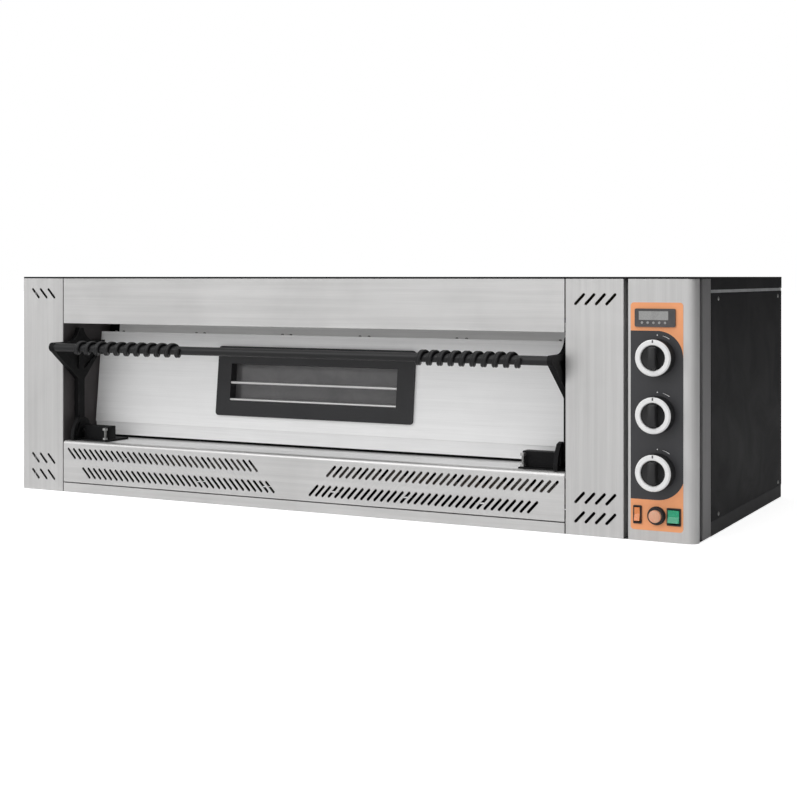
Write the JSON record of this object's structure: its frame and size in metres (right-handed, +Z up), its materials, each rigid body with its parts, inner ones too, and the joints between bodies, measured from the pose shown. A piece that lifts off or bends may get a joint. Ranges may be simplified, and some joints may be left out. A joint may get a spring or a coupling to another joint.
{
  "type": "deck oven",
  "caption": "Single-deck gas bakery oven with a recessed drop-down door, side arms, a wire-wound handle bar, a window and a control column",
  "frame": {"origin": "centre of the flat base, on the surface the oven stands on", "axes": "+X to the viewer's right, +Y to the back, +Z up"},
  "size_m": [1.3024, 0.634, 0.4],
  "materials": {
    "stainless": "brushed along the width",
    "stainless_post": "brushed upright",
    "stainless_door": "fine brushed",
    "dark_steel": "brushed, in shade",
    "galvanised": "spangled zinc",
    "aluminised": "heat-stained aluminised steel",
    "black_paint": "satin powder coat",
    "charcoal_lining": "matt heat-proof paint",
    "skirt_paint": "satin powder coat, dusty",
    "black_cast": "painted casting",
    "refractory": "fired refractory stone",
    "wool": "mineral wool blanket",
    "burner_steel": "heat-tinted",
    "brass": "turned",
    "overlay_dark": "printed film",
    "overlay_orange": "printed film",
    "bezel_plastic": "moulded",
    "display_plastic": "moulded",
    "lcd": "unlit liquid-crystal display",
    "knob_plastic": "moulded",
    "ring_white": "satin white ring",
    "button_lens": "translucent lens",
    "rocker_orange": "translucent rocker",
    "rocker_green": "translucent rocker",
    "handle_black": "black oxide tube",
    "coil_black": "black wire",
    "window_paint": "satin dark grey",
    "glass": "smoked heat-proof glass",
    "zinc": "zinc plated",
    "lamp_glass": "frosted lamp cover",
    "gland_nylon": "nylon"
  },
  "bodies": {
    "casing": {"base_pan": "skirt_paint", "rear_panel": "galvanised", "left_side_panel": "black_paint", "right_side_panel": "black_paint", "top_cover": "black_paint", "side_trims": "galvanised", "corner_uprights": "dark_steel", "left_post": "stainless_post", "right_post": "stainless_post", "top_rail": "stainless", "grille_panel": "stainless", "bottom_strip": "stainless", "sill": "stainless_door", "recess_lining": "charcoal_lining", "mouth_frame": "black_paint", "lintel_strip": "stainless_door", "chamber_liner": "aluminised", "deck_stones": "refractory", "stone_rails": "stainless", "insulation_blanket": "wool", "floor_burners": "burner_steel", "roof_burner": "burner_steel", "gas_manifold": "brass", "gas_taps": "brass", "cable_gland": "gland_nylon", "flue_duct": "galvanised", "chamber_lamp": "lamp_glass", "control_fascia": "stainless_post", "heat_shield": "galvanised", "overlay_charcoal": "overlay_dark", "overlay_orange": "overlay_orange", "display_bezel": "display_plastic", "display_screen": "lcd", "rocker_frames": "bezel_plastic", "button_bezel": "bezel_plastic", "hinge_brackets": "black_cast", "hinge_pins": "zinc", "hinge_bolts": "zinc", "panel_screws": "zinc"},
    "door": {"door_outer_panel": "stainless_door", "door_inner_panel": "aluminised", "door_core": "wool", "window_frame": "window_paint", "window_bars": "stainless", "window_glass": "glass", "left_arm": "black_cast", "right_arm": "black_cast", "handle_bar": "handle_black", "left_grip": "coil_black", "right_grip": "coil_black", "door_screws": "zinc"},
    "knob_top": {"knob_top": "knob_plastic", "ring_top": "ring_white"},
    "knob_middle": {"knob_middle": "knob_plastic", "ring_middle": "ring_white"},
    "knob_bottom": {"knob_bottom": "knob_plastic", "ring_bottom": "ring_white"},
    "lamp_rocker": {"lamp_rocker": "rocker_orange"},
    "main_rocker": {"main_rocker": "rocker_green"},
    "push_button": {"push_button": "button_lens"}
  },
  "joints": [
    {"name": "door_hinge", "type": "hinge", "parent": "casing", "child": "door", "pos_m": [-0.057, -0.238, 0.112], "axis": [1, 0, 0], "range_deg": [0, 90]},
    {"name": "knob_top_turn", "type": "hinge", "parent": "casing", "child": "knob_top", "pos_m": [0.5895, -0.275, 0.2784], "axis": [0, -1, 0], "range_deg": [0, 240]},
    {"name": "knob_middle_turn", "type": "hinge", "parent": "casing", "child": "knob_middle", "pos_m": [0.5895, -0.275, 0.1921], "axis": [0, -1, 0], "range_deg": [0, 240]},
    {"name": "knob_bottom_turn", "type": "hinge", "parent": "casing", "child": "knob_bottom", "pos_m": [0.5895, -0.275, 0.1058], "axis": [0, -1, 0], "range_deg": [0, 240]},
    {"name": "lamp_rocker_tilt", "type": "hinge", "parent": "casing", "child": "lamp_rocker", "pos_m": [0.5587, -0.272, 0.0394], "axis": [1, 0, 0], "range_deg": [0, 12]},
    {"name": "main_rocker_tilt", "type": "hinge", "parent": "casing", "child": "main_rocker", "pos_m": [0.6154, -0.272, 0.039], "axis": [1, 0, 0], "range_deg": [0, 12]},
    {"name": "push_button_press", "type": "slide", "parent": "casing", "child": "push_button", "axis": [0, 1, 0], "range_m": [0, 0.0035], "stiffness_N_per_m": 250, "springref_m": -0.003}
  ]
}
